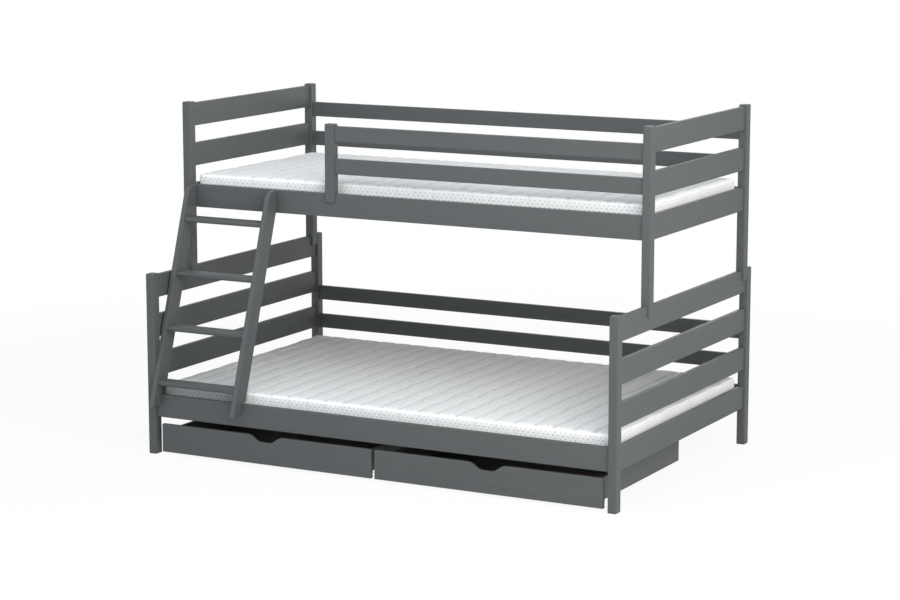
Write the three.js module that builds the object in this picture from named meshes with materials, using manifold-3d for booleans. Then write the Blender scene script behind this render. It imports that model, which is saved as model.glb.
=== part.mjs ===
// Bunk bed with two rolling drawers: a narrower upper bed stands on the end frames of a wider lower bed.
// Millimetres. +X is the right end, -Y the front where the ladder leans, +Z up. The origin lies on the
// floor, in the middle of the room that the bed and its ladder take.

import * as THREE from 'three';
import { mergeVertices } from 'three/addons/utils/BufferGeometryUtils.js';
import Module from 'manifold-3d';

const wasm = await Module();
wasm.setup();

// Timber and fits
const boardThickness = 20;
const wideBoard = 94; // height of the bed rails and end rails
const narrowBoard = 62; // height of the back rails and guard boards
const boardEdge = 3; // rounding of a board's long edges
const postWidth = 36; // along the bed
const postDepth = 42; // across the bed
const postEdge = 4;
const postEndEdge = 3; // rounding of a post's ends
const jointGap = 0.3; // between any two pieces that are fastened together

// The two beds
const bedLength = 2080;
const lowerWidth = 1320;
const upperWidth = 996;
const lowerPostTop = 740;
const upperPostTop = 1408;
const postAboveRail = 7; // posts end this far above the top end rail
const lowerRailBottom = 154; // underside of the lower bed rails
const upperRailBottom = 979;
const backRails = 2; // narrow rails above each back bed rail
const backRailGap = 65.5;
const postTongue = 42; // an upper post straddles the top rail of the lower end frame this far down

// Guard
const guardPostWidth = 42;
const guardPostDepth = 36;
const guardPostLeft = 671; // from the left end of the bed
const guardPostTop = 1350;
const guardPostTongue = 37; // the post straddles the bed rail this far down
const guardLowerGap = 78; // between the bed rail and the lower guard board
const guardUpperGap = 67;

// Ladder
const ladderWidth = 405;
const ladderSideGap = 0.5; // beside the left posts
const stringerThickness = 20;
const stringerWidth = 73;
const stringerTopDrop = 2; // below the top of the upper bed rail
const stringerFlat = 75; // upright cut at its top that lies against the upper bed rail
const stringerTopRadius = 34;
const stringerEdge = 2.5;
const stringerCorner = 6;
const ladderReach = 50; // the feet stand this far in front of the lower posts
const footDrop = 45; // a foot hangs this far below the top of the lower bed rail
const treadCount = 4;
const treadThickness = 20;
const treadDepth = 64;
const treadInset = 8; // behind the front of the stringers
const treadPitch = 213.5;
const topTreadDrop = 126; // below the top of the upper bed rail
const treadFrontEdge = 8;

// Slatted bases and mattresses
const slatCount = 14;
const slatWidth = 70;
const slatThickness = 14;
const slatEndInset = 4; // from the ends of the battens
const battenWidth = 20;
const battenHeight = 18;
const battenLift = 2; // above the underside of the bed rails
const beamWidth = 45;
const beamHeight = 28;
const mattressEndGap = 12; // to the end rails
const lowerMattressSideGap = 29; // to the bed rails
const upperMattressSideGap = 27;
const mattressThickness = 95; // at its edge
const mattressCrown = 8;
const mattressDrawIn = 6; // of each side between the corners
const mattressEdge = 12;
const mattressPiping = 1; // the seam between side and top stands out this far beyond the edge's fall
const channelPitch = 83.3; // between two seams
const channelDepth = 5;
const channelSteps = 3; // sections from one seam to the next
const mattressLift = 0.4; // above the slats
const topSteps = [0.8, 0.4, 0]; // the top has points at these shares of its half width
const endSteps = [0, 0.2, 0.6]; // and sections at these shares of the edge's rounding at each end
const endHold = 8; // power with which the draw-in of the ends dies away along the bed

// Drawers
const drawerNames = ['left', 'right'];
const drawerEndGap = 22; // between a front and the post
const drawerGap = 14; // between the two fronts
const drawerFrontHeight = 116;
const drawerFrontThickness = 18;
const drawerFloorGap = 11;
const drawerDepth = 800; // with its front
const drawerFrontEdge = 3;
const drawerCorner = 4;
const drawerSideInset = 37; // from the end of the front to the outside of the box
const drawerBoard = 15; // thickness of the sides and the back
const drawerSideHeight = 83;
const drawerBoardEdge = 2;
const drawerBottomThickness = 4;
const drawerBottomLift = 12; // above the lower edge of the front
const grooveDepth = 8;
const fingerTop = 140;
const fingerBottom = 62;
const fingerDepth = 27;
const fingerRound = 12;

// Castors
const wheelRadius = 17;
const wheelWidth = 14;
const wheelEdge = 3;
const axleRadius = 2.6;
const axleFit = 0.4;
const wheelSideGap = 1;
const wheelEndGap = 2;
const housingWall = 3;
const housingBelowAxle = 5;
const flangeLength = 62;
const flangeWidth = 40;
const flangeThickness = 2;
const castorSideInset = 80; // from the outside of the box to the middle of a wheel
const castorEndInset = 90; // from the back of the front board, and from the rear of the box
const roundSteps = 16;

// Sizes that follow from these
const postX = (bedLength - postWidth) / 2;
const insideX = bedLength / 2 - postWidth; // inner sides of the posts
const lowerFrontY = -lowerWidth / 2;
const lowerBackY = lowerWidth / 2;
const upperBackY = lowerBackY - postDepth - jointGap;
const upperFrontY = upperBackY - upperWidth;
const endRailInnerX = postX - boardThickness / 2;
const mattressLength = 2 * (endRailInnerX - mattressEndGap);
const lowerRailTop = lowerRailBottom + wideBoard;
const upperRailTop = upperRailBottom + wideBoard;
const lowerEndTop = lowerPostTop - postAboveRail;
const upperEndTop = upperPostTop - postAboveRail;

// A bed's long rails stand in the middle of its posts
const railSetback = (postDepth - boardThickness) / 2;
const slotWidth = boardThickness + 2 * jointGap; // in the foot of a post that straddles a rail
const lowerRailFaceY = lowerFrontY + railSetback;
const upperRailFaceY = upperFrontY + railSetback;

const paint = new THREE.MeshStandardMaterial({ color: 0x5f6463, roughness: 0.55, metalness: 0 });
const darkPaint = new THREE.MeshStandardMaterial({ color: 0x565b5a, roughness: 0.6, metalness: 0 });
const pine = new THREE.MeshStandardMaterial({ color: 0xc9a878, roughness: 0.7, metalness: 0 });
const ticking = new THREE.MeshStandardMaterial({ color: 0xe2e2e1, roughness: 0.9, metalness: 0 });
const nylon = new THREE.MeshStandardMaterial({ color: 0x2b2d2e, roughness: 0.5, metalness: 0 });

// Bases that turn an extruded outline, drawn in x and y and extruded along z, into the bed's frame
const alongX = new THREE.Matrix4().makeBasis(axis(0, 1, 0), axis(0, 0, 1), axis(1, 0, 0));
const alongY = new THREE.Matrix4().makeBasis(axis(0, 0, 1), axis(1, 0, 0), axis(0, 1, 0));
const towardsFront = new THREE.Matrix4().makeBasis(axis(1, 0, 0), axis(0, 0, 1), axis(0, -1, 0));
const upright = new THREE.Matrix4();

function axis(x, y, z) {
  return new THREE.Vector3(x, y, z);
}

// A closed geometry with shared corners
function closed(geometry) {
  geometry.deleteAttribute('normal');
  geometry.deleteAttribute('uv');
  const merged = mergeVertices(geometry, 1e-3);
  merged.computeVertexNormals();
  return merged;
}

function toSolid(geometry) {
  const plain = closed(geometry.clone());
  const vertProperties = new Float32Array(plain.attributes.position.array);
  const triVerts = new Uint32Array(plain.index.array);
  return new wasm.Manifold(new wasm.Mesh({ numProp: 3, vertProperties, triVerts }));
}

function fromSolid(solid) {
  const mesh = solid.getMesh();
  const geometry = new THREE.BufferGeometry();
  geometry.setAttribute('position', new THREE.BufferAttribute(new Float32Array(mesh.vertProperties), 3));
  geometry.setIndex(new THREE.BufferAttribute(new Uint32Array(mesh.triVerts), 1));
  geometry.computeVertexNormals();
  return geometry;
}

// A plain block between two corners
function block(x0, x1, y0, y1, z0, z1) {
  const geometry = new THREE.BoxGeometry(x1 - x0, y1 - y0, z1 - z0);
  geometry.translate((x0 + x1) / 2, (y0 + y1) / 2, (z0 + z1) / 2);
  return toSolid(geometry);
}

// An outline through corners [x, y, rounding]
function roundedOutline(corners) {
  const outline = new THREE.Shape();
  corners.forEach(([x, y, rounding = 0], i) => {
    const corner = new THREE.Vector2(x, y);
    const [beforeX, beforeY] = corners.at(i - 1);
    const [afterX, afterY] = corners[(i + 1) % corners.length];
    const start = new THREE.Vector2(beforeX, beforeY).sub(corner).setLength(rounding).add(corner);
    const end = new THREE.Vector2(afterX, afterY).sub(corner).setLength(rounding).add(corner);
    if (i === 0) outline.moveTo(start.x, start.y);
    else outline.lineTo(start.x, start.y);
    if (rounding > 0) outline.quadraticCurveTo(x, y, end.x, end.y);
  });
  outline.closePath();
  return outline;
}

function roundedRectangle(width, height, rounding) {
  const [w, h] = [width / 2, height / 2];
  return roundedOutline([[-w, -h, rounding], [w, -h, rounding], [w, h, rounding], [-w, h, rounding]]);
}

// An outline extruded through its middle plane, its two end faces rounded off by endEdge
function extruded(outline, depth, basis, { endEdge = 0, curveSegments = 2 } = {}) {
  const geometry = new THREE.ExtrudeGeometry(outline, {
    depth: depth - 2 * endEdge,
    curveSegments,
    bevelEnabled: endEdge > 0,
    bevelThickness: endEdge,
    bevelSize: endEdge,
    bevelOffset: -endEdge,
    bevelSegments: 2,
  });
  geometry.translate(0, 0, endEdge - depth / 2);
  return closed(geometry.applyMatrix4(basis));
}

function piece(name, geometry, material, x = 0, y = 0, z = 0) {
  const mesh = new THREE.Mesh(geometry, material);
  mesh.name = name;
  mesh.position.set(x, y, z);
  return mesh;
}

// Boards with rounded long edges, centred on the origin
function boardAlongX(length, height, thickness = boardThickness, edge = boardEdge) {
  return extruded(roundedRectangle(thickness, height, edge), length, alongX);
}

function boardAlongY(length, height, thickness = boardThickness, edge = boardEdge) {
  return extruded(roundedRectangle(height, thickness, edge), length, alongY);
}

// Posts

function postBar(length) {
  const outline = roundedRectangle(postWidth, postDepth, postEdge);
  return extruded(outline, length, upright, { endEdge: postEndEdge });
}

function lowerPost(name, x, y) {
  return piece(name, postBar(lowerPostTop), paint, x, y, lowerPostTop / 2);
}

// An upper post straddles the top rail of the lower end frame: its foot is slotted over the rail
function upperPost(name, side, y) {
  const foot = lowerEndTop - postTongue;
  const bar = postBar(upperPostTop - foot).translate(side * postX, y, (upperPostTop + foot) / 2);
  const slotLeft = side * postX - slotWidth / 2;
  const slot = block(slotLeft, slotLeft + slotWidth, y - postDepth, y + postDepth, 0, lowerEndTop + jointGap);
  return piece(name, fromSolid(toSolid(bar).subtract(slot)), paint);
}

// End frames: posts with evenly spaced rails between them

function endFrame({ level, side, frontY, backY, bottom, top, railNames, makePost }) {
  const frame = new THREE.Group();
  const sideName = side < 0 ? 'left' : 'right';
  const length = backY - frontY - 2 * (postDepth + jointGap);
  const pitch = (top - wideBoard - bottom) / (railNames.length - 1);
  frame.add(makePost(`${level}_post_front_${sideName}`, side, frontY + postDepth / 2));
  frame.add(makePost(`${level}_post_back_${sideName}`, side, backY - postDepth / 2));
  railNames.forEach((railName, i) => {
    const z = bottom + wideBoard / 2 + i * pitch;
    const name = `${level}_${sideName}_end_rail_${railName}`;
    frame.add(piece(name, boardAlongY(length, wideBoard), paint, side * postX, (frontY + backY) / 2, z));
  });
  return frame;
}

// Long rails

function longRail(name, y, bottom, height) {
  const length = 2 * (insideX - jointGap);
  return piece(name, boardAlongX(length, height), paint, 0, y, bottom + height / 2);
}

function longRails(level, frontY, backY, railBottom) {
  const rails = new THREE.Group();
  const backRailY = backY - postDepth / 2;
  rails.add(longRail(`${level}_front_bed_rail`, frontY + postDepth / 2, railBottom, wideBoard));
  rails.add(longRail(`${level}_back_bed_rail`, backRailY, railBottom, wideBoard));
  for (let i = 0; i < backRails; i++) {
    const bottom = railBottom + wideBoard + backRailGap + i * (narrowBoard + backRailGap);
    rails.add(longRail(`${level}_back_rail_${i + 1}`, backRailY, bottom, narrowBoard));
  }
  return rails;
}

// Slatted base: two side battens screwed to the bed rails, slats across them, and a beam below the middle of
// the wide bed

function slattedBase(name, frontY, backY, railBottom, hasBeam) {
  const endX = insideX - jointGap;
  const beamEndX = endRailInnerX - jointGap;
  const inFront = frontY + railSetback + boardThickness + jointGap;
  const behind = backY - railSetback - boardThickness - jointGap;
  const battenBottom = railBottom + battenLift;
  const slatBottom = battenBottom + battenHeight;
  const reach = endX - slatEndInset;
  const pitch = (2 * reach - slatWidth) / (slatCount - 1);
  // The battens and the beam run a little way into the slats, so that the base is one body
  const bite = slatThickness / 2;
  let base = block(-endX, endX, inFront, inFront + battenWidth, battenBottom, slatBottom + bite)
    .add(block(-endX, endX, behind - battenWidth, behind, battenBottom, slatBottom + bite));
  if (hasBeam) {
    const beamFront = (inFront + behind - beamWidth) / 2;
    const beamBottom = slatBottom - beamHeight;
    const beam = block(-beamEndX, beamEndX, beamFront, beamFront + beamWidth, beamBottom, slatBottom + bite);
    base = base.add(beam);
  }
  for (let i = 0; i < slatCount; i++) {
    const x = -reach + i * pitch;
    base = base.add(block(x, x + slatWidth, inFront, behind, slatBottom, slatBottom + slatThickness));
  }
  return piece(name, fromSolid(base), pine);
}

// Mattress: a crowned pad with channels sewn across it, its sides drawn in between the corners

// Half the outline of a mattress across x, from the lower edge of its side to the middle of its top
function mattressSection(width, halfLength, x) {
  const swell = Math.abs(Math.sin((Math.PI * x) / channelPitch)); // 0 on a seam, 1 between two seams
  const dip = channelDepth * (1 - swell);
  const fromEnd = Math.min((halfLength - Math.abs(x)) / mattressEdge, 1);
  const fall = mattressEdge * (1 - Math.sqrt(1 - (1 - fromEnd) ** 2)); // the round edge at the two ends
  const half = (width - fall) / 2;
  const shoulder = mattressThickness - fall;
  const crown = mattressCrown * (1 - (x / halfLength) ** 4);
  const topAt = (share) => [share * half, shoulder + crown * (1 - share ** 2) - dip];
  return [
    [half - mattressEdge / 2, fall / 2],
    [half - mattressPiping - dip / 4, (mattressEdge + fall) / 2],
    [half - dip / 2, mattressThickness / 2],
    [half - mattressPiping - dip / 2, shoulder - mattressEdge],
    [half - mattressEdge / 2, shoulder - mattressEdge / 4 - dip / 2],
    ...topSteps.map(topAt),
  ];
}

// How far a side or an end is drawn in, at a share of the way from its middle to a corner
function drawnIn(share) {
  return mattressDrawIn * (1 - Math.min(Math.abs(share), 1) ** 2);
}

function mattress(name, bedWidth, sideGap, middleY, slatTop) {
  const width = bedWidth - 2 * (railSetback + boardThickness + sideGap);
  const halfLength = mattressLength / 2;
  const step = channelPitch / channelSteps;
  const steps = Math.floor((halfLength - mattressEdge) / step);
  const channelX = Array.from({ length: 2 * steps + 1 }, (_, i) => (i - steps) * step);
  const endX = endSteps.map((share) => halfLength - share * mattressEdge);
  const stations = [...endX.map((x) => -x), ...channelX, ...endX.reverse()];
  const positions = [];
  const index = [];
  const addPoint = (x, y, z) => {
    const inX = drawnIn((2 * y) / width) * Math.abs(x / halfLength) ** endHold;
    const inY = drawnIn(x / halfLength) * ((2 * y) / width) ** 2;
    positions.push(x - Math.sign(x) * inX, y - Math.sign(y) * inY, z);
  };
  stations.forEach((x) => {
    const half = mattressSection(width, halfLength, x);
    const mirrored = half.slice(0, -1).map(([y, z]) => [-y, z]).reverse();
    [...half, ...mirrored].forEach(([y, z]) => addPoint(x, y, z));
  });
  const around = positions.length / 3 / stations.length;
  const corner = (station, i) => station * around + (i % around);
  for (let s = 0; s + 1 < stations.length; s++) {
    for (let i = 0; i < around; i++) {
      const [a, b, c, d] = [corner(s, i), corner(s, i + 1), corner(s + 1, i + 1), corner(s + 1, i)];
      index.push(a, b, c, a, c, d);
    }
  }
  [0, stations.length - 1].forEach((station) => {
    addPoint(stations[station], 0, mattressThickness / 2);
    const middle = positions.length / 3 - 1;
    for (let i = 0; i < around; i++) {
      const edge = [corner(station, i), corner(station, i + 1)];
      if (station === 0) edge.reverse();
      index.push(middle, ...edge);
    }
  });
  const geometry = new THREE.BufferGeometry();
  geometry.setAttribute('position', new THREE.Float32BufferAttribute(positions, 3));
  geometry.setIndex(index);
  geometry.computeVertexNormals();
  return piece(name, geometry, ticking, 0, middleY, slatTop + mattressLift);
}

// Guard: a short post straddles the bed rail and carries two boards, glued up as one piece

function guardRail() {
  const railY = upperRailFaceY + boardThickness / 2;
  const middleX = -bedLength / 2 + guardPostLeft + guardPostWidth / 2;
  const foot = upperRailTop - guardPostTongue;
  const outline = roundedRectangle(guardPostWidth, guardPostDepth, postEdge);
  const post = extruded(outline, guardPostTop - foot, upright, { endEdge: postEndEdge })
    .translate(middleX, railY, (guardPostTop + foot) / 2);
  const slotFront = railY - slotWidth / 2;
  const slot = block(-bedLength, bedLength, slotFront, slotFront + slotWidth, 0, upperRailTop + jointGap);
  let guard = toSolid(post).subtract(slot);
  // The boards start inside the post, so that the guard is one body
  const boardRight = insideX - jointGap;
  const lowerBottom = upperRailTop + guardLowerGap;
  [lowerBottom, lowerBottom + narrowBoard + guardUpperGap].forEach((bottom) => {
    const board = boardAlongX(boardRight - middleX, narrowBoard)
      .translate((middleX + boardRight) / 2, railY, bottom + narrowBoard / 2);
    guard = guard.add(toSolid(board));
  });
  return piece('guard_rail', fromSolid(guard), paint);
}

// Ladder: the stringers lean on the upper bed rail and are notched over the lower one

const footFrontY = lowerFrontY - ladderReach;
const footBottom = lowerRailTop - footDrop;
const stringerTop = upperRailTop - stringerTopDrop;
const leanFaceY = upperRailFaceY - jointGap;
const leanFaceBottom = stringerTop - stringerFlat;
const reachBack = leanFaceY - footFrontY; // from the front of the foot to the leaning face
const reachUp = leanFaceBottom - footBottom; // and to the lower end of that face
const ladderLean = Math.acos(stringerWidth / Math.hypot(reachBack, reachUp)) - Math.atan2(reachUp, reachBack);
const ladderSlope = Math.tan(ladderLean);
const stringerRun = stringerWidth / Math.cos(ladderLean); // front to back, measured level
const stringerFrontAt = (z) => footFrontY + (z - footBottom) * ladderSlope;
const ladderLeft = -insideX + ladderSideGap;

function stringerOutline() {
  const seatZ = lowerRailTop + jointGap;
  const hookFaceY = lowerRailFaceY - jointGap;
  return roundedOutline([
    [footFrontY, footBottom],
    [hookFaceY, footBottom, stringerCorner],
    [hookFaceY, seatZ],
    [stringerFrontAt(seatZ) + stringerRun, seatZ, stringerCorner],
    [leanFaceY, leanFaceBottom],
    [leanFaceY, stringerTop, stringerCorner],
    [stringerFrontAt(stringerTop), stringerTop, stringerTopRadius],
  ]);
}

function treadOutline() {
  const [half, low] = [treadDepth / 2, treadThickness / 2];
  return roundedOutline([
    [-half, -low, treadFrontEdge],
    [half, -low, boardEdge],
    [half, low, boardEdge],
    [-half, low, treadFrontEdge],
  ]);
}

function ladder() {
  const group = new THREE.Group();
  const stringerX = [ladderLeft + stringerThickness / 2, ladderLeft + ladderWidth - stringerThickness / 2];
  ['left', 'right'].forEach((sideName, i) => {
    const geometry = extruded(stringerOutline(), stringerThickness, alongX, {
      endEdge: stringerEdge,
      curveSegments: 4,
    });
    group.add(piece(`ladder_stringer_${sideName}`, geometry, paint, stringerX[i]));
  });
  const treadLength = ladderWidth - 2 * (stringerThickness + jointGap);
  for (let i = 0; i < treadCount; i++) {
    const treadTop = upperRailTop - topTreadDrop - (treadCount - 1 - i) * treadPitch;
    const z = treadTop - treadThickness / 2;
    const geometry = extruded(treadOutline(), treadLength, alongX, { curveSegments: 4 });
    const y = stringerFrontAt(z) + treadInset + treadDepth / 2;
    group.add(piece(`ladder_tread_${i + 1}`, geometry, paint, ladderLeft + ladderWidth / 2, y, z));
  }
  return group;
}

// Drawers, each drawn about the middle of its front board's face

const drawerStep = (2 * (insideX - drawerEndGap) + drawerGap) / drawerNames.length;
const drawerFrontWidth = drawerStep - drawerGap;
const drawerFrontBottom = drawerFloorGap;
const drawerFrontTop = drawerFrontBottom + drawerFrontHeight;
const drawerBoxHalf = drawerFrontWidth / 2 - drawerSideInset;
const bottomPanelZ = drawerFrontBottom + drawerBottomLift;
const bottomPanelTop = bottomPanelZ + drawerBottomThickness;
const castorX = drawerBoxHalf - castorSideInset;
const castorRows = { front: drawerFrontThickness + castorEndInset, rear: drawerDepth - castorEndInset };

function drawerFrontOutline() {
  const half = drawerFrontWidth / 2;
  const fingerFloor = drawerFrontTop - fingerDepth;
  return roundedOutline([
    [-half, drawerFrontBottom, drawerCorner],
    [half, drawerFrontBottom, drawerCorner],
    [half, drawerFrontTop, drawerCorner],
    [fingerTop / 2, drawerFrontTop, fingerRound],
    [fingerBottom / 2, fingerFloor, fingerRound],
    [-fingerBottom / 2, fingerFloor, fingerRound],
    [-fingerTop / 2, drawerFrontTop, fingerRound],
    [-half, drawerFrontTop, drawerCorner],
  ]);
}

function drawerFront(name) {
  const front = extruded(drawerFrontOutline(), drawerFrontThickness, towardsFront, {
    endEdge: drawerFrontEdge,
    curveSegments: 3,
  }).translate(0, drawerFrontThickness / 2, 0);
  const groove = block(
    -drawerFrontWidth, drawerFrontWidth,
    drawerFrontThickness - grooveDepth, drawerDepth,
    bottomPanelZ - jointGap, bottomPanelTop + jointGap,
  );
  return piece(name, fromSolid(toSolid(front).subtract(groove)), paint);
}

function drawerSide(name, side) {
  const length = drawerDepth - drawerFrontThickness - jointGap;
  const y = drawerDepth - length / 2;
  const z = bottomPanelTop + jointGap + drawerSideHeight / 2;
  const geometry = boardAlongY(length, drawerSideHeight, drawerBoard, drawerBoardEdge);
  return piece(name, geometry, darkPaint, side * (drawerBoxHalf - drawerBoard / 2), y, z);
}

function drawerBack(name) {
  const length = 2 * (drawerBoxHalf - drawerBoard - jointGap);
  const z = bottomPanelTop + jointGap + drawerSideHeight / 2;
  const geometry = boardAlongX(length, drawerSideHeight, drawerBoard, drawerBoardEdge);
  return piece(name, geometry, darkPaint, 0, drawerDepth - drawerBoard / 2, z);
}

// The bottom panel carries four moulded castor housings, let in from below, each with its axle pin
function drawerBottom(name) {
  const panelFront = drawerFrontThickness - grooveDepth + jointGap;
  const pocketX = wheelWidth / 2 + wheelSideGap;
  const pocketY = wheelRadius + wheelEndGap;
  const pocketTop = 2 * wheelRadius + wheelEndGap;
  const housingX = pocketX + housingWall;
  const housingY = pocketY + housingWall;
  const pinLength = 2 * pocketX + housingWall;
  let panel = block(-drawerBoxHalf, drawerBoxHalf, panelFront, drawerDepth, bottomPanelZ, bottomPanelTop);
  for (const x of [-castorX, castorX]) {
    for (const y of Object.values(castorRows)) {
      const pin = new THREE.CylinderGeometry(axleRadius, axleRadius, pinLength, roundSteps / 2)
        .rotateZ(Math.PI / 2)
        .translate(x, y, wheelRadius);
      const around = (halfX, halfY, z0, z1) => block(x - halfX, x + halfX, y - halfY, y + halfY, z0, z1);
      panel = panel
        .add(around(flangeWidth / 2, flangeLength / 2, bottomPanelZ - flangeThickness, bottomPanelTop))
        .add(around(housingX, housingY, wheelRadius - housingBelowAxle, pocketTop + housingWall))
        .subtract(around(pocketX, pocketY, 0, pocketTop))
        .add(toSolid(pin));
    }
  }
  return piece(name, fromSolid(panel), darkPaint);
}

function castorWheel(name, x, y) {
  const half = wheelWidth / 2;
  const bore = axleRadius + axleFit;
  const profile = [
    [bore, -half], [wheelRadius - wheelEdge, -half], [wheelRadius, -half + wheelEdge],
    [wheelRadius, half - wheelEdge], [wheelRadius - wheelEdge, half], [bore, half], [bore, -half],
  ].map(([radius, across]) => new THREE.Vector2(radius, across));
  const geometry = new THREE.LatheGeometry(profile, roundSteps).rotateZ(-Math.PI / 2);
  return piece(name, closed(geometry), nylon, x, y, wheelRadius);
}

function drawer(sideName) {
  const group = new THREE.Group();
  const prefix = `drawer_${sideName}`;
  group.add(drawerFront(`${prefix}_front`));
  group.add(drawerSide(`${prefix}_side_left`, -1));
  group.add(drawerSide(`${prefix}_side_right`, 1));
  group.add(drawerBack(`${prefix}_back`));
  group.add(drawerBottom(`${prefix}_bottom`));
  for (const [rowName, y] of Object.entries(castorRows)) {
    group.add(castorWheel(`${prefix}_wheel_${rowName}_left`, -castorX, y));
    group.add(castorWheel(`${prefix}_wheel_${rowName}_right`, castorX, y));
  }
  return group;
}

// The whole bed

const bed = new THREE.Group();
const lowerRailNames = ['bottom', 'lower', 'upper', 'top'];
const upperRailNames = ['bottom', 'middle', 'top'];

for (const side of [-1, 1]) {
  bed.add(endFrame({
    level: 'lower',
    side,
    frontY: lowerFrontY,
    backY: lowerBackY,
    bottom: lowerRailBottom,
    top: lowerEndTop,
    railNames: lowerRailNames,
    makePost: (name, postSide, y) => lowerPost(name, postSide * postX, y),
  }));
  bed.add(endFrame({
    level: 'upper',
    side,
    frontY: upperFrontY,
    backY: upperBackY,
    bottom: upperRailBottom,
    top: upperEndTop,
    railNames: upperRailNames,
    makePost: upperPost,
  }));
}

bed.add(longRails('lower', lowerFrontY, lowerBackY, lowerRailBottom));
bed.add(longRails('upper', upperFrontY, upperBackY, upperRailBottom));

const slatRise = battenLift + battenHeight + slatThickness; // from a bed rail's underside to the slats' top
const lowerSlatTop = lowerRailBottom + slatRise;
const upperSlatTop = upperRailBottom + slatRise;
const upperMiddleY = (upperFrontY + upperBackY) / 2;
bed.add(slattedBase('lower_slatted_base', lowerFrontY, lowerBackY, lowerRailBottom, true));
bed.add(slattedBase('upper_slatted_base', upperFrontY, upperBackY, upperRailBottom, false));
bed.add(mattress('lower_mattress', lowerWidth, lowerMattressSideGap, 0, lowerSlatTop));
bed.add(mattress('upper_mattress', upperWidth, upperMattressSideGap, upperMiddleY, upperSlatTop));

bed.add(guardRail());
bed.add(ladder());

drawerNames.forEach((sideName, i) => {
  const drawerGroup = drawer(sideName);
  drawerGroup.position.set((i - (drawerNames.length - 1) / 2) * drawerStep, lowerRailFaceY, 0);
  bed.add(drawerGroup);
});

// The ladder's reach counts towards the depth, so the bed stands back by half of it
bed.position.y = ladderReach / 2;

export default bed;
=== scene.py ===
import math

import bmesh
import bpy
from mathutils import Matrix, Vector


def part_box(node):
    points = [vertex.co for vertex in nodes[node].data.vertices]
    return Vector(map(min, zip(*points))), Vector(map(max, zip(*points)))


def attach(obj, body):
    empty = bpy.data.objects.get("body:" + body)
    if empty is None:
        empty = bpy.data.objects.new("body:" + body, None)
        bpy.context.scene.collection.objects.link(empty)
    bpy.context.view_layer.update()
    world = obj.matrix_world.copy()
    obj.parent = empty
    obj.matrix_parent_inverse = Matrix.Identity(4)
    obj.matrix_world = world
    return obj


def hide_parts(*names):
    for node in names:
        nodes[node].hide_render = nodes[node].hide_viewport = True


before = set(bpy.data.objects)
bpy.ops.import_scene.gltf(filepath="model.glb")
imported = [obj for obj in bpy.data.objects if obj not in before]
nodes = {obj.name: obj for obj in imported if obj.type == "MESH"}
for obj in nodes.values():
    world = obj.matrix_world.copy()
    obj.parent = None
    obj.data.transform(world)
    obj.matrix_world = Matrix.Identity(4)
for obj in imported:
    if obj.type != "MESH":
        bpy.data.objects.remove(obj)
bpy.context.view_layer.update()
scene = bpy.context.scene
print("frame loaded:", len(nodes), "wooden, soft and moulded pieces")


# Camera, a little to the right of the bed and looking slightly down

camera = {
    "place": (4.7500, -8.8821, 2.3759),
    "turn": 28.0985,  # to the left, in degrees
    "pitch": 9.8885,  # below the horizon
    "lens": 100.912,
    "sensor": 36,
    "farthest": 100,
}

cameraData = bpy.data.cameras.new("photoCamera")
cameraData.lens = camera["lens"]
cameraData.sensor_width = camera["sensor"]
cameraData.clip_end = camera["farthest"]
cameraObject = bpy.data.objects.new("photoCamera", cameraData)
cameraObject.location = camera["place"]
cameraObject.rotation_euler = (math.radians(90 - camera["pitch"]), 0, math.radians(camera["turn"]))
scene.collection.objects.link(cameraObject)
scene.camera = cameraObject


# Shader maths: a Socket takes + - * / with numbers and other Sockets, and adds its own nodes

class Socket:
    def __init__(self, shader, link):
        self.shader = shader
        self.link = link

    def maths(self, operation, *values):
        return self.shader.node("ShaderNodeMath", {"operation": operation}, values)

    def __add__(self, other):
        return self.maths("ADD", self, other)

    def __radd__(self, other):
        return self.maths("ADD", other, self)

    def __sub__(self, other):
        return self.maths("SUBTRACT", self, other)

    def __rsub__(self, other):
        return self.maths("SUBTRACT", other, self)

    def __mul__(self, other):
        return self.maths("MULTIPLY", self, other)

    def __rmul__(self, other):
        return self.maths("MULTIPLY", other, self)

    def __truediv__(self, other):
        return self.maths("DIVIDE", self, other)

    def __rtruediv__(self, other):
        return self.maths("DIVIDE", other, self)

    def __pow__(self, other):
        return self.maths("POWER", self, other)

    def __gt__(self, other):
        return self.maths("GREATER_THAN", self, other)

    def __lt__(self, other):
        return self.maths("LESS_THAN", self, other)

    def floor(self):
        return self.maths("FLOOR", self)

    def fraction(self):
        return self.maths("FRACT", self)

    def modulo(self, other):
        return self.maths("FLOORED_MODULO", self, other)

    def absolute(self):
        return self.maths("ABSOLUTE", self)

    def rise(self, low, high):  # 0 below low, 1 above high, smooth between them
        return self.shader.node(
            "ShaderNodeMapRange", {"interpolation_type": "SMOOTHSTEP"},
            {"Value": self, "From Min": low, "From Max": high})


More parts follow.
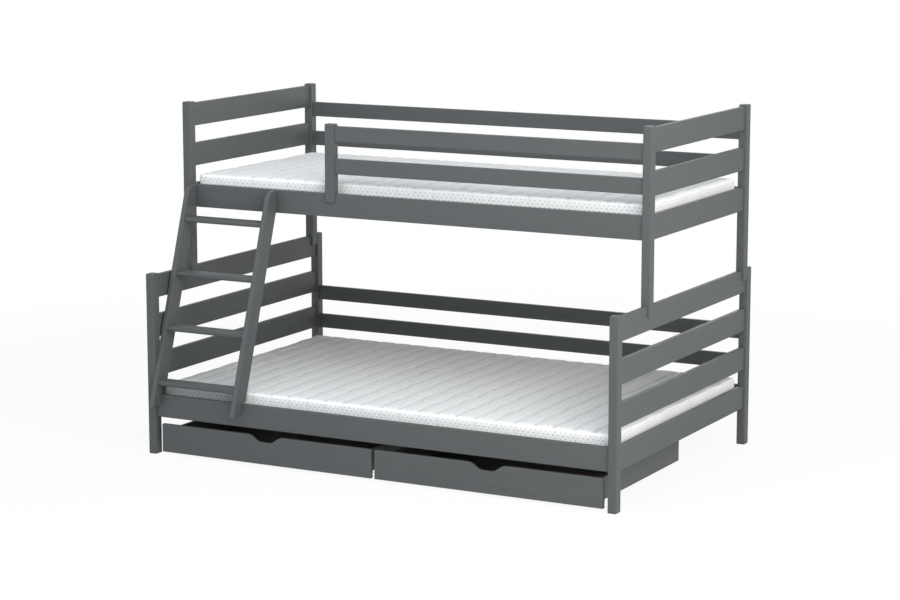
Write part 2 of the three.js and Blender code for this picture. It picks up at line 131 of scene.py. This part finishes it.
class Shader:
    def __init__(self, tree):
        self.tree = tree

    def node(self, kind, settings=None, values=(), output=0):
        made = self.tree.nodes.new(kind)
        for name, value in (settings or {}).items():
            setattr(made, name, value)
        pairs = values.items() if isinstance(values, dict) else enumerate(values)
        for name, value in pairs:
            self.feed(made.inputs[name], value)
        return Socket(self, made.outputs[output])

    def feed(self, target, value):
        if isinstance(value, Socket):
            self.tree.links.new(value.link, target)
        elif target.type == "RGBA":
            target.default_value = (*value, 1)
        else:
            target.default_value = value

    def axes(self, vector):
        return [self.node("ShaderNodeSeparateXYZ", None, [vector], i) for i in range(3)]

    def vector(self, x, y, z):
        return self.node("ShaderNodeCombineXYZ", None, [x, y, z])

    def placed(self, vector, turn=(0, 0, 0), scale=(1, 1, 1)):
        values = {"Vector": vector, "Rotation": turn, "Scale": scale}
        return self.node("ShaderNodeMapping", None, values)

    def noise(self, vector, scale=1, detail=2, roughness=0.5):
        return self.node(
            "ShaderNodeTexNoise", {"noise_dimensions": "3D"},
            {"Vector": vector, "Scale": scale, "Detail": detail, "Roughness": roughness})

    def mix(self, share, first, second):
        return self.node("ShaderNodeMix", {"data_type": "RGBA"}, {0: share, 6: first, 7: second}, 2)

    def seenDirectly(self):  # by the camera, in a gloss or through glass
        camera, gloss, glass = [
            self.node("ShaderNodeLightPath", None, (), name)
            for name in ("Is Camera Ray", "Is Glossy Ray", "Is Transmission Ray")]
        return camera.maths("MAXIMUM", camera.maths("MAXIMUM", camera, gloss), glass)

    def bump(self, height, strength, distance, normal=None):
        values = {"Height": height, "Strength": strength, "Distance": distance}
        if normal is not None:
            values["Normal"] = normal
        return self.node("ShaderNodeBump", None, values)


class Finish(Shader):
    def __init__(self, name, **sockets):
        self.material = bpy.data.materials.new(name)
        self.material.use_nodes = True
        super().__init__(self.material.node_tree)
        self.surface = self.tree.nodes["Principled BSDF"]
        self.put(**sockets)

    def put(self, **sockets):
        for name, value in sockets.items():
            self.feed(self.surface.inputs[name.replace("_", " ")], value)

    def place(self):
        return self.node("ShaderNodeTexCoord", None, (), "Object")


# Dark grey paint on solid pine: sprayed satin, with the wood's grain just telling through it

paint = {
    "colour": (0.0740, 0.0800, 0.0808),
    # the same paint made a little lighter on the drawers: painted light that lifts their tone
    "drawerColourWithPaintedLight": (0.0770, 0.0830, 0.0838),
    "gloss": 0.30,
    "toneReach": 0.5,  # of the darkest and the lightest paint, as a share of the colour
    "toneSpread": 0.10,  # light and dark of the grain
    "cloudSpread": 0.08,  # slow changes of tone over a board
    "cloudScale": 3.1,
    "roughness": 0.55,
    "cloudRoughness": 0.16,
    "grainRoughness": 0.10,
    "grainLength": 0.35,  # along the board, in metres
    "grainWidth": 0.007,
    "grainDetail": 5,
    "grainFineness": 0.62,  # how much the fine detail tells
    "grainEdge": 0.12,  # half the width of the step between light and dark grain
    "grainStrength": 0.55,
    "grainDepth": 0.00022,
    "bandScale": 0.22,  # of the broad bands, against the fine grain
    "sprayScale": 950,
    "sprayStrength": 0.5,
    "sprayDepth": 0.00006,  # orange peel
}


def paintedPine(name, along, colour, lean=0):
    made = Finish(name, Specular_IOR_Level=paint["gloss"])
    spot = made.placed(made.place(), turn=(lean, 0, 0))
    fine = [1 / paint["grainWidth"]] * 3
    fine["xyz".index(along)] = 1 / paint["grainLength"]
    broad = [value * paint["bandScale"] for value in fine]
    grainSpot = made.placed(spot, scale=fine)
    grain = made.noise(grainSpot, 1, paint["grainDetail"], paint["grainFineness"]) - 0.5
    bands = made.noise(made.placed(spot, scale=broad)) - 0.5
    cloud = made.noise(spot, paint["cloudScale"], 3) - 0.5
    spray = made.noise(spot, paint["sprayScale"])
    tone = (grain + bands) * paint["toneSpread"] + cloud * paint["cloudSpread"] + 0.5
    rough = paint["roughness"] + cloud * paint["cloudRoughness"] + grain * paint["grainRoughness"]
    dark = [value * (1 - paint["toneReach"]) for value in colour]
    light = [value * (1 + paint["toneReach"]) for value in colour]
    ridges = grain.rise(-paint["grainEdge"], paint["grainEdge"])
    lines = made.bump(ridges, paint["grainStrength"], paint["grainDepth"])
    made.put(
        Base_Color=made.mix(tone, dark, light),
        Roughness=rough,
        Normal=made.bump(spray, paint["sprayStrength"], paint["sprayDepth"], lines))
    return made.material


ladderLean = math.radians(18.5)
paintAlongX = paintedPine("paintedBoard", "x", paint["colour"])
paintAlongY = paintedPine("paintedEndRail", "y", paint["colour"])
paintUpright = paintedPine("paintedPost", "z", paint["colour"])
paintLeaning = paintedPine("paintedStringer", "z", paint["colour"], ladderLean)
drawerAlongX = paintedPine("paintedDrawerBack", "x", paint["drawerColourWithPaintedLight"])
drawerAlongY = paintedPine("paintedDrawerSide", "y", paint["drawerColourWithPaintedLight"])
print("paint mixed")


# Bare planed pine for the slats, which run from front to back

pine = {
    "light": (0.66, 0.55, 0.41),
    "dark": (0.50, 0.38, 0.245),
    "knot": (0.16, 0.075, 0.032),
    "knotShare": 0.75,
    "slatSpread": 0.22,  # of the tone, from slat to slat
    "gloss": 0.35,
    "roughness": 0.58,
    "fibreRoughness": 0.2,
    "knotRoughness": 0.08,
    "slatPitch": 0.1483,
    "ringScale": (95, 1.4, 40),
    "ringEdge": (0.33, 0.67),
    "ringShift": (7.3, 9),  # from slat to slat, across and along
    "wanderScale": (6, 1.1, 6),
    "wander": 3.2,
    "fibreScale": (700, 12, 700),
    "knotScale": (9, 3.1, 0.3),
    "knotEdge": (0.05, 0.13),
    "knotShift": (3.7, 5),
    "ringBump": 0.6,
    "fibreBump": 0.4,
    "bumpStrength": 0.4,
    "bumpDepth": 0.0003,
}


def barePine():
    made = Finish("planedPine", Specular_IOR_Level=pine["gloss"])
    spot = made.place()
    x, y, z = made.axes(spot)
    slat = (x / pine["slatPitch"] + 0.5).floor()
    chance = made.node("ShaderNodeTexWhiteNoise", {"noise_dimensions": "1D"}, {"W": slat})
    wander = made.noise(made.placed(spot, scale=pine["wanderScale"])) * pine["wander"]

    across, along, upwards = pine["ringScale"]
    shiftAcross, shiftAlong = pine["ringShift"]
    ringSpot = made.vector(
        x * across + wander + slat * shiftAcross, y * along + chance * shiftAlong, z * upwards)
    rings = made.noise(ringSpot, detail=3, roughness=0.6)
    fibre = made.noise(made.placed(spot, scale=pine["fibreScale"]), detail=3)

    across, along, level = pine["knotScale"]
    shiftAcross, shiftAlong = pine["knotShift"]
    knotSpot = made.vector(x * across + slat * shiftAcross, y * along + chance * shiftAlong, level)
    cell = made.node("ShaderNodeTexVoronoi", {"feature": "F1"}, {"Vector": knotSpot, "Scale": 1})
    knot = 1 - cell.rise(*pine["knotEdge"])

    wood = made.mix(rings.rise(*pine["ringEdge"]), pine["light"], pine["dark"])
    wood = made.mix(chance * pine["slatSpread"], wood, pine["dark"])
    wood = made.mix(knot * pine["knotShare"], wood, pine["knot"])
    rough = pine["roughness"] + (fibre - 0.5) * pine["fibreRoughness"] - knot * pine["knotRoughness"]
    relief = fibre * pine["fibreBump"] + rings * pine["ringBump"]
    made.put(
        Base_Color=wood,
        Roughness=rough,
        Normal=made.bump(relief, pine["bumpStrength"], pine["bumpDepth"]))
    return made.material


slatPine = barePine()


# Drawer bottoms, a thin painted panel with moulded castor housings, then the wheels and the steel

panel = {
    "top": 0.0273,  # the housings stand out above and below the panel
    "underside": 0.0227,
    "toneReach": 0.3,
    "cloudScale": 5,
    "cloudSpread": 0.3,
    "cloudMiddle": 0.35,
    "roughness": 0.52,
    "peelScale": 600,
    "peelRoughness": 0.2,
    "peelStrength": 0.35,
    "peelDepth": 0.00012,
}

nylon = {
    "colour": (0.022, 0.023, 0.025),
    "dust": (0.075, 0.073, 0.068),
    "dustScale": 140,
    "dustEdge": (0.45, 0.75),
    "dustShare": 0.35,
    "roughness": 0.42,
    "dustRoughness": 0.2,
    "gritScale": 2200,
    "gritStrength": 0.4,
    "gritDepth": 0.00008,
}

steel = {
    "dark": (0.035, 0.036, 0.038),
    "worn": (0.10, 0.10, 0.105),
    "wearScale": 900,
    "wearEdge": (0.4, 0.7),
    "roughness": 0.38,
    "wearRoughness": 0.25,
    "wearStrength": 0.25,
    "wearDepth": 0.00005,
}


def drawerPanel():
    made = Finish("drawerPanel")
    spot = made.place()
    height = made.axes(spot)[2]
    housing = (height > panel["top"]) + (height < panel["underside"])
    cloud = made.noise(spot, panel["cloudScale"], 3)
    peel = made.noise(spot, panel["peelScale"])
    dark = [value * (1 - panel["toneReach"]) for value in paint["drawerColourWithPaintedLight"]]
    light = [value * (1 + panel["toneReach"]) for value in paint["drawerColourWithPaintedLight"]]
    tone = made.mix(cloud * panel["cloudSpread"] + panel["cloudMiddle"], dark, light)
    made.put(
        Base_Color=made.mix(housing, tone, nylon["colour"]),
        Roughness=panel["roughness"] + (peel - 0.5) * panel["peelRoughness"],
        Normal=made.bump(peel, panel["peelStrength"], panel["peelDepth"]))
    return made.material


def mouldedNylon():
    made = Finish("mouldedNylon")
    spot = made.place()
    grit = made.noise(spot, nylon["gritScale"])
    dust = made.noise(spot, nylon["dustScale"], 3)
    dusty = dust.rise(*nylon["dustEdge"]) * nylon["dustShare"]
    made.put(
        Base_Color=made.mix(dusty, nylon["colour"], nylon["dust"]),
        Roughness=nylon["roughness"] + dust * nylon["dustRoughness"],
        Normal=made.bump(grit, nylon["gritStrength"], nylon["gritDepth"]))
    return made.material


def darkSteel():
    made = Finish("darkSteel", Metallic=1.0)
    wear = made.noise(made.place(), steel["wearScale"], 3)
    made.put(
        Base_Color=made.mix(wear.rise(*steel["wearEdge"]), steel["dark"], steel["worn"]),
        Roughness=steel["roughness"] + (wear - 0.5) * steel["wearRoughness"],
        Normal=made.bump(wear, steel["wearStrength"], steel["wearDepth"]))
    return made.material


panelFinish = drawerPanel()
wheelFinish = mouldedNylon()
boltFinish = darkSteel()


def finishOf(name):
    if name.endswith("slatted_base"):
        return slatPine
    if "_wheel_" in name:
        return wheelFinish
    if name.startswith("drawer_"):
        if name.endswith("_bottom"):
            return panelFinish
        if name.endswith("_front"):
            return paintAlongX
        return drawerAlongX if name.endswith("_back") else drawerAlongY
    if "_post_" in name:
        return paintUpright
    if "_end_rail_" in name:
        return paintAlongY
    return paintLeaning if name.startswith("ladder_stringer") else paintAlongX


for name, node in nodes.items():
    node.data.materials.clear()
    node.data.materials.append(finishOf(name))
print("wood, panels and wheels finished")


# Mattresses: a quilted cover over foam, its wavy seams sewn down and the channels puffed up

mattress = {
    "lift": 0.0002,  # above the slats
    "channelPitch": 0.08333,  # between two seams
    "columnsPerChannel": 6,
    "columnCrowding": 0.66,  # towards the seams
    "rowStep": 0.0145,
    "sideRows": 7,
    "waveLength": 0.209,  # of a seam, along its run
    "waveHeight": 0.0032,
    "waveAtCorners": 0.55,  # share of the wave that is left at the ends of the bed
    "cornerPower": 12,
    "waveAtEdge": 0.3,  # and at the seams' own ends
    "waveStart": 0.05,
    "waveRise": 1.4,
    "seamReach": 0.0015,
    "seamDepth": 0.0035,
    "seamAtEdge": 0.4,  # share of the depth at the seams' own ends
    "seamStart": 0.02,
    "sideSeamDepth": 0.0009,
    "topFrom": 0.93,  # share of the height where the top begins
    "edgeFrom": 0.985,  # share of the half width and length where the edge begins
    "sideFrom": 0.97,
    "rimDrop": 0.006,  # of the top at its edge, below the highest point of the foam
    "rimReach": 0.002,
    "crown": 0.0045,
    "crownPowers": (4, 2),  # along X and Y
    "drawIn": 0.006,  # of the sides, between the corners
    "drawInPowers": (8, 3),
    "edgeRounds": 2,  # times that the edges are smoothed
    "sideLayout": 3,  # where the sides' rows begin in the flat coordinates
    "turnOver": 0.014,  # of the side cloth on to the top, at both ends
    "seamHold": 0.9,
    "mostPuff": 0.0032,
    "mostSidePuff": 0.0005,
}


# Two grids and a bridge come out in the same order on each run, and so the cloth does too
def mattressShell(low, high):
    size = high - low
    middle = (low + high) / 2
    channels = round(size.x / mattress["channelPitch"])
    columns = channels * mattress["columnsPerChannel"]
    rows = round(size.y / mattress["rowStep"])
    shell = bmesh.new()
    for height in (0, 1):
        level = Matrix.Translation((0, 0, height))
        bmesh.ops.create_grid(shell, x_segments=columns, y_segments=rows, size=0.5, matrix=level)
    bmesh.ops.bridge_loops(shell, edges=[edge for edge in shell.edges if edge.is_boundary])
    bmesh.ops.recalc_face_normals(shell, faces=shell.faces[:])
    upright = [edge for edge in shell.edges if edge.verts[0].co.z != edge.verts[1].co.z]
    bmesh.ops.subdivide_edges(shell, edges=upright, cuts=mattress["sideRows"], use_grid_fill=True)

    for vertex in shell.verts:
        across = (vertex.co.x + 0.5) * channels
        channel = math.floor(across + 1e-5)
        share = across - channel
        share -= mattress["columnCrowding"] * math.sin(2 * math.pi * share) / (2 * math.pi)
        vertex.co.x = ((channel + share) / channels - 0.5) * size.x + middle.x
        vertex.co.y = vertex.co.y * size.y + middle.y
        vertex.co.z = vertex.co.z * size.z + low.z
    return shell


# Flat coordinates of the cover, in metres: along the edge and down from it on the sides,
# whose cloth turns over the rim on to the top at both ends
def coverLayout(shell, low, high):
    layout = shell.loops.layers.uv.new("cover")
    start = mattress["sideLayout"]
    for face in shell.faces:
        normal = face.normal
        middle = face.calc_center_median()
        fromEnd = min(middle.x - low.x, high.x - middle.x)
        for loop in face.loops:
            spot = loop.vert.co
            if abs(normal.z) < 0.5:
                loop[layout].uv = (spot.x if abs(normal.y) > 0.5 else spot.y, start + high.z - spot.z)
            elif fromEnd > mattress["turnOver"]:
                loop[layout].uv = (spot.x, spot.y)
            else:
                loop[layout].uv = (spot.y, start - min(spot.x - low.x, high.x - spot.x))


def roundRims(shell, low, high):
    reach = mattress["rimReach"]
    rims = []
    for vertex in shell.verts:
        spot = vertex.co
        level = spot.z < low.z + reach or spot.z > high.z - reach
        outer = min(spot.x - low.x, high.x - spot.x, spot.y - low.y, high.y - spot.y) < reach
        if level and outer:
            rims.append(vertex)
    for _ in range(mattress["edgeRounds"]):
        bmesh.ops.smooth_vert(
            shell, verts=rims, factor=0.5, use_axis_x=True, use_axis_y=True, use_axis_z=True)


# Crowns the top, sews the seams down in waves and draws the sides in between the corners,
# and gives how firmly each vertex is held and how far it may puff
def shapeCover(shell, low, high):
    halfX = (high.x - low.x) / 2
    halfY = (high.y - low.y) / 2
    middle = (low + high) / 2
    pitch = 2 * halfX / round(2 * halfX / mattress["channelPitch"])
    crownX, crownY = mattress["crownPowers"]
    drawX, drawY = mattress["drawInPowers"]
    held = {}
    caps = {}
    for vertex in shell.verts:
        spot = vertex.co
        x = (spot.x - middle.x) / halfX
        y = (spot.y - middle.y) / halfY
        rise = (spot.z - low.z) / (high.z - low.z)
        fromEdge = (1 - abs(y)) * halfY
        nearest = round((spot.x - middle.x) / pitch)
        fromSeam = abs(spot.x - middle.x - nearest * pitch)
        onSeam = fromSeam < mattress["seamReach"] and abs(x) < mattress["edgeFrom"]
        flat = spot.z < low.z + 0.001
        topSide = rise > mattress["topFrom"] and abs(y) < mattress["edgeFrom"]
        if topSide:
            spot.z += mattress["crown"] * (1 - x ** crownX) * (1 - y ** crownY)
        if onSeam and topSide:
            inside = min(1, fromEdge / mattress["seamStart"])
            share = mattress["seamAtEdge"] + (1 - mattress["seamAtEdge"]) * inside
            spot.z -= mattress["seamDepth"] * share
        elif onSeam and abs(y) > mattress["sideFrom"]:
            spot.y -= math.copysign(mattress["sideSeamDepth"], y)

        inside = min(1, fromEdge / mattress["waveStart"])
        ends = 1 - (1 - mattress["waveAtCorners"]) * abs(x) ** mattress["cornerPower"]
        ends *= mattress["waveAtEdge"] + (1 - mattress["waveAtEdge"]) * inside
        along = 2 * math.pi * (spot.y - middle.y) / mattress["waveLength"]
        across = math.pi * (spot.x - middle.x) / pitch
        wave = mattress["waveHeight"] * math.sin(along) * math.cos(across)
        spot.x += wave * ends * min(1, rise * mattress["waveRise"])
        spot.x -= math.copysign(mattress["drawIn"] * (1 - y ** 2) * abs(x) ** drawX, x)
        spot.y -= math.copysign(mattress["drawIn"] * (1 - x ** 2) * abs(y) ** drawY, y)
        held[vertex.index] = 1.0 if flat else (mattress["seamHold"] if onSeam else 0.0)
        caps[vertex.index] = mattress["mostPuff"] if topSide else mattress["mostSidePuff"]
    return held, caps


def quilt(name, nodeName):
    low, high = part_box(nodeName)
    low.z += mattress["lift"]
    high.z -= mattress["rimDrop"]
    shell = mattressShell(low, high)
    shell.verts.index_update()
    coverLayout(shell, low, high)
    roundRims(shell, low, high)
    held, caps = shapeCover(shell, low, high)

    data = bpy.data.meshes.new(name)
    shell.to_mesh(data)
    shell.free()
    piece = bpy.data.objects.new(name, data)
    scene.collection.objects.link(piece)
    puffUp(piece, held, caps)
    data = piece.data
    data.polygons.foreach_set("use_smooth", [True] * len(data.polygons))
    finer = piece.modifiers.new("finer", "SUBSURF")
    finer.levels = finer.render_levels = 1
    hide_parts(nodeName)
    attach(piece, "root")
    return piece


# The cover is blown up like cloth, with its seams and its underside held

cover = {
    "pressure": 5.5,
    "slack": -0.035,  # cloth cut larger than the foam
    "frames": 16,
    "quality": 4,
    "mass": 0.25,
    "stretch": 12,
    "shear": 6,
    "bending": 0.6,
}


def puffUp(piece, held, caps):
    rest = [vertex.co.copy() for vertex in piece.data.vertices]
    group = piece.vertex_groups.new(name="sewn")
    for index, weight in held.items():
        if weight:
            group.add([index], weight, "REPLACE")
    cloth = piece.modifiers.new("cover", "CLOTH")
    settings = cloth.settings
    settings.quality = cover["quality"]
    settings.mass = cover["mass"]
    settings.tension_stiffness = cover["stretch"]
    settings.compression_stiffness = cover["stretch"]
    settings.shear_stiffness = cover["shear"]
    settings.bending_stiffness = cover["bending"]
    settings.use_pressure = True
    settings.uniform_pressure_force = cover["pressure"]
    settings.shrink_min = cover["slack"]
    settings.vertex_group_mass = "sewn"
    settings.effector_weights.gravity = 0
    cloth.collision_settings.use_collision = False
    cloth.point_cache.frame_start = 1
    cloth.point_cache.frame_end = cover["frames"]
    for step in range(1, cover["frames"] + 1):
        scene.frame_set(step)
    shaped = piece.evaluated_get(bpy.context.evaluated_depsgraph_get())
    blown = [vertex.co.copy() for vertex in shaped.data.vertices]
    piece.modifiers.clear()
    piece.vertex_groups.clear()
    for vertex, start, end in zip(piece.data.vertices, rest, blown):
        move = end - start
        move *= min(1, caps[vertex.index] / max(move.length, 1e-9))
        vertex.co = start + move
    scene.frame_set(1)


ticking = {
    "top": (0.692, 0.70, 0.703),
    "side": (0.857, 0.855, 0.853),
    "dot": (0.26, 0.27, 0.28),
    "dotPitch": (0.020833, 0.0125),  # along the edge, and down the side
    "dotEdge": (0.55, 1.15),
    "sideDot": (0.0037, 0.0023),
    "topDot": (0.0021, 0.0058),  # drawn out along the channels
    "firstRow": 0.0092,
    "sideShare": 0.72,
    "topShare": 0.5,
    # painted shade along each seam: a dark line standing in for the shadow in the sewn groove
    "paintedSeamShade": (0.22, 0.23, 0.24),
    "paintedSeamShadeShare": 0.48,
    "paintedSeamShadeEdge": (0.0006, 0.0028),  # from the seam, in metres, of the painted seam shade
    # painted shade in the valleys beside the seams, where the channels dip
    "paintedValleyShade": (0.45, 0.46, 0.47),
    "paintedValleyShadeShare": 0.15,
    "paintedValleyShadeEdge": (0.002, 0.011),
    "grooveEdge": (0, 0.0045),
    "grooveStrength": 0.8,
    "grooveDepth": 0.0024,
    "sideSeamShadeShare": 0.15,  # share of the seams' marks, their painted shade, on the sides
    "shade": (0.62, 0.62, 0.62),
    "knitShade": 0.10,
    "cloudShade": 0.05,
    "cloudScale": 14,
    "knitScale": 260,
    "knitEdge": (0.35, 0.7),
    "threadScale": 700,
    "sheen": 0.15,
    "sheenRoughness": 0.5,
    "gloss": 0.25,
    "roughness": 0.86,
    "knitRoughness": 0.12,
    "knitBump": 0.5,
    "threadBump": 0.25,
    "dotBump": 0.5,
    "weaveStrength": 0.5,
    "weaveDepth": 0.0009,
}


def tickingFinish():
    made = Finish(
        "quiltedTicking", Sheen_Weight=ticking["sheen"], Sheen_Roughness=ticking["sheenRoughness"],
        Specular_IOR_Level=ticking["gloss"])
    layout = made.node("ShaderNodeUVMap", {"uv_map": "cover"})
    along, rawDown, _ = made.axes(layout)
    onSide = rawDown > mattress["sideLayout"] - 0.5
    onTop = 1 - onSide * (1 - ticking["sideSeamShadeShare"])

    down = rawDown - onSide * (mattress["sideLayout"] + ticking["firstRow"])
    pitchAlong, pitchDown = ticking["dotPitch"]
    row = down / pitchDown
    column = (along / pitchAlong + row.floor().modulo(2) * 0.5 * onSide).fraction() - 0.5
    line = row.fraction() - 0.5
    dots = []
    for sizeAlong, sizeDown in (ticking["sideDot"], ticking["topDot"]):
        acrossDot = column * (pitchAlong / sizeAlong)
        downDot = line * (pitchDown / sizeDown)
        distance = (acrossDot ** 2 + downDot ** 2) ** 0.5
        dots.append(1 - distance.rise(*ticking["dotEdge"]))
    sideDot = dots[0] * onSide * (down > 0) * ticking["sideShare"]
    topDot = dots[1] * (1 - onSide) * ticking["topShare"]
    dot = sideDot + topDot

    pitch = mattress["channelPitch"]
    seam = ((along / pitch + 0.5).fraction() - 0.5).absolute() * pitch
    # A dark line along each seam, painted shade for the shadow in the sewn groove
    paintedSeamShade = 1 - seam.rise(*ticking["paintedSeamShadeEdge"])
    # A softer darkening beside each seam, painted shade in the channels' valleys
    paintedValleyShade = 1 - seam.rise(*ticking["paintedValleyShadeEdge"])
    groove = seam.rise(*ticking["grooveEdge"])

    spot = made.place()
    thread = made.noise(spot, ticking["threadScale"])
    knit = made.noise(made.placed(spot, scale=(1, 0.6, 1)), ticking["knitScale"], 3)
    cloud = made.noise(spot, ticking["cloudScale"])
    knitShade = knit.rise(*ticking["knitEdge"]) * ticking["knitShade"]
    shade = knitShade + (cloud - 0.5) * ticking["cloudShade"]
    cloth = made.mix(onSide, ticking["top"], ticking["side"])
    cloth = made.mix(shade, cloth, ticking["shade"])
    cloth = made.mix(dot, cloth, ticking["dot"])
    cloth = made.mix(paintedValleyShade * onTop * ticking["paintedValleyShadeShare"], cloth, ticking["paintedValleyShade"])
    cloth = made.mix(paintedSeamShade * onTop * ticking["paintedSeamShadeShare"], cloth, ticking["paintedSeamShade"])
    weave = knit * ticking["knitBump"] + thread * ticking["threadBump"] - dot * ticking["dotBump"]
    grooves = made.bump(groove * onTop, ticking["grooveStrength"], ticking["grooveDepth"])
    made.put(
        Base_Color=cloth,
        Roughness=ticking["roughness"] + (knit - 0.5) * ticking["knitRoughness"],
        Normal=made.bump(weave, ticking["weaveStrength"], ticking["weaveDepth"], grooves))
    return made.material


tickingMaterial = tickingFinish()
for name, nodeName in (("lowerQuilt", "lower_mattress"), ("upperQuilt", "upper_mattress")):
    quilt(name, nodeName).data.materials.append(tickingMaterial)
    print(name, "sewn")


# Bolt heads in the lower posts, which hold the bed rails, and screws in the drawer fronts

bolt = {
    "radius": 0.0052,
    "proud": 0.0005,
    "socket": 0.0024,
    "socketDepth": 0.0016,
    "heights": (0.232, 0.171),
}

screw = {
    "radius": 0.0034,
    "proud": 0.0003,
    "socket": 0.0013,
    "socketDepth": 0.0012,
    "fromEnd": 0.0445,
    "heights": (0.082, 0.050),
}

headForm = {"sides": 24, "socketSides": 6, "rounding": 0.12}


# Pushes a ring of edges down by depth, and closes it with one face
def sinkRing(shape, edges, depth):
    made = bmesh.ops.extrude_edge_only(shape, edges=edges)["geom"]
    ring = [item for item in made if isinstance(item, bmesh.types.BMVert)]
    bmesh.ops.translate(shape, verts=ring, vec=(0, 0, -depth))
    bmesh.ops.contextual_create(shape, geom=[
        item for item in made
        if isinstance(item, bmesh.types.BMEdge) and all(vertex in ring for vertex in item.verts)])


# A round head with a six-sided socket, its face towards +Z
def headShape(look, place, turn, target):
    head = bmesh.new()
    bmesh.ops.create_circle(
        head, cap_ends=False, segments=headForm["sides"], radius=look["radius"])
    outer = head.edges[:]
    bmesh.ops.create_circle(
        head, cap_ends=False, segments=headForm["socketSides"], radius=look["socket"])
    socket = [edge for edge in head.edges if edge not in outer]
    bmesh.ops.bridge_loops(head, edges=outer + socket)
    sinkRing(head, socket, look["socketDepth"])
    sinkRing(head, outer, 2 * look["socketDepth"])
    nearRim = look["radius"] * 0.9
    rim = [edge for edge in head.edges
           if all(abs(vertex.co.z) < 1e-6 and vertex.co.length > nearRim for vertex in edge.verts)]
    bmesh.ops.bevel(
        head, geom=rim, offset=look["radius"] * headForm["rounding"],
        affect="EDGES", segments=2, profile=0.5, material=-1)
    bmesh.ops.recalc_face_normals(head, faces=head.faces[:])
    bmesh.ops.transform(head, matrix=Matrix.Translation(place) @ turn, verts=head.verts[:])
    copy = bpy.data.meshes.new("head")
    head.to_mesh(copy)
    head.free()
    target.from_mesh(copy)
    bpy.data.meshes.remove(copy)


def headsPiece(name, body, heads, look, finish):
    target = bmesh.new()
    for place, turn in heads:
        headShape(look, place, turn, target)
    data = bpy.data.meshes.new(name)
    target.to_mesh(data)
    target.free()
    piece = bpy.data.objects.new(name, data)
    scene.collection.objects.link(piece)
    data.materials.append(finish)
    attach(piece, body)


postHeads = []
for corner in ("front_left", "front_right", "back_left", "back_right"):
    low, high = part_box(f"lower_post_{corner}")
    side = 1 if high.x > 0 else -1
    face = high.x if side > 0 else low.x
    for height in bolt["heights"]:
        place = Vector((face + side * bolt["proud"], (low.y + high.y) / 2, height))
        postHeads.append((place, Matrix.Rotation(side * math.pi / 2, 4, "Y")))
headsPiece("railBolts", "root", postHeads, bolt, boltFinish)

for side in ("left", "right"):
    low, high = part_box(f"drawer_{side}_front")
    frontHeads = []
    for x in (low.x + screw["fromEnd"], high.x - screw["fromEnd"]):
        for height in screw["heights"]:
            place = Vector((x, low.y - screw["proud"], height))
            frontHeads.append((place, Matrix.Rotation(math.pi / 2, 4, "X")))
    headsPiece(f"drawerScrews_{side}", f"drawer_{side}", frontHeads, screw, paintAlongX)
print("bolts and screws in")


# White floor, which shows white to the camera but keeps a faint shadow, and plain soft light

studio = {
    "floorSize": 60,
    "floorDrop": 0.0004,
    "floorColour": (0.80, 0.80, 0.80),
    "floorRoughness": 0.9,
    "glow": 0.92,  # share of plain white in the floor that the camera sees, near the bed
    "glowAway": (2.2, 4.5),  # between these distances the floor turns wholly white
    "sky": 0.175,
    "skyColour": (0.82, 1.0, 1.16),
    "lampSize": 3.4,
    "lampAim": (0, 0, 0.6),
    "lamps": (
        {"name": "key", "place": (3.47, -2.84, 2.32), "power": 180, "colour": (1.0, 0.982, 0.958)},
        {"name": "rightSide", "place": (4.46, 0.65, 2.17), "power": 52, "colour": (1.0, 0.975, 0.95)},
        {"name": "frontHigh", "place": (0.66, -2.70, 4.37), "power": 80, "colour": (0.97, 1.0, 1.03)},
        {"name": "leftFill", "place": (-1.89, -3.71, 2.54), "power": 50, "colour": (0.95, 1.0, 1.06)},
        {"name": "top", "place": (0.2, 0.2, 5.0), "power": 74, "colour": (1.0, 0.99, 0.972)},
        {"name": "back", "place": (-0.3, 5.7, 1.1), "power": 95, "colour": (1, 1, 1)},
    ),
}

floorShape = bmesh.new()
bmesh.ops.create_grid(floorShape, x_segments=1, y_segments=1, size=studio["floorSize"] / 2)
bmesh.ops.translate(floorShape, verts=floorShape.verts[:], vec=(0, 0, -studio["floorDrop"]))
floorData = bpy.data.meshes.new("studioFloor")
floorShape.to_mesh(floorData)
floorShape.free()
floor = bpy.data.objects.new("studioFloor", floorData)
scene.collection.objects.link(floor)

floorFinish = Finish(
    "studioFloor", Base_Color=studio["floorColour"], Roughness=studio["floorRoughness"])
seen = floorFinish.seenDirectly()
fromBed = floorFinish.node(
    "ShaderNodeVectorMath", {"operation": "LENGTH"}, [floorFinish.place()], "Value")
glow = fromBed.rise(*studio["glowAway"]) * (1 - studio["glow"]) + studio["glow"]
white = floorFinish.node("ShaderNodeEmission", None, {"Color": (1, 1, 1), "Strength": 1})
lit = Socket(floorFinish, floorFinish.surface.outputs[0])
both = floorFinish.node("ShaderNodeMixShader", None, {0: seen * glow, 1: lit, 2: white})
floorFinish.feed(floorFinish.tree.nodes["Material Output"].inputs["Surface"], both)
floorData.materials.append(floorFinish.material)

world = bpy.data.worlds.new("studioSky")
world.use_nodes = True
scene.world = world
sky = Shader(world.node_tree)
seenSky = sky.seenDirectly()
background = world.node_tree.nodes["Background"]
sky.feed(background.inputs["Strength"], seenSky * (1 - studio["sky"]) + studio["sky"])
sky.feed(background.inputs["Color"], sky.mix(seenSky, studio["skyColour"], (1, 1, 1)))

for lamp in studio["lamps"]:
    lampData = bpy.data.lights.new(lamp["name"], "AREA")
    lampData.size = studio["lampSize"]
    lampData.energy = lamp["power"]
    lampData.color = lamp["colour"]
    lampObject = bpy.data.objects.new(lamp["name"], lampData)
    lampObject.location = lamp["place"]
    aim = Vector(studio["lampAim"]) - lampObject.location
    lampObject.rotation_euler = aim.to_track_quat("-Z", "Y").to_euler()
    scene.collection.objects.link(lampObject)

scene.view_settings.view_transform = "Standard"

print("finished")
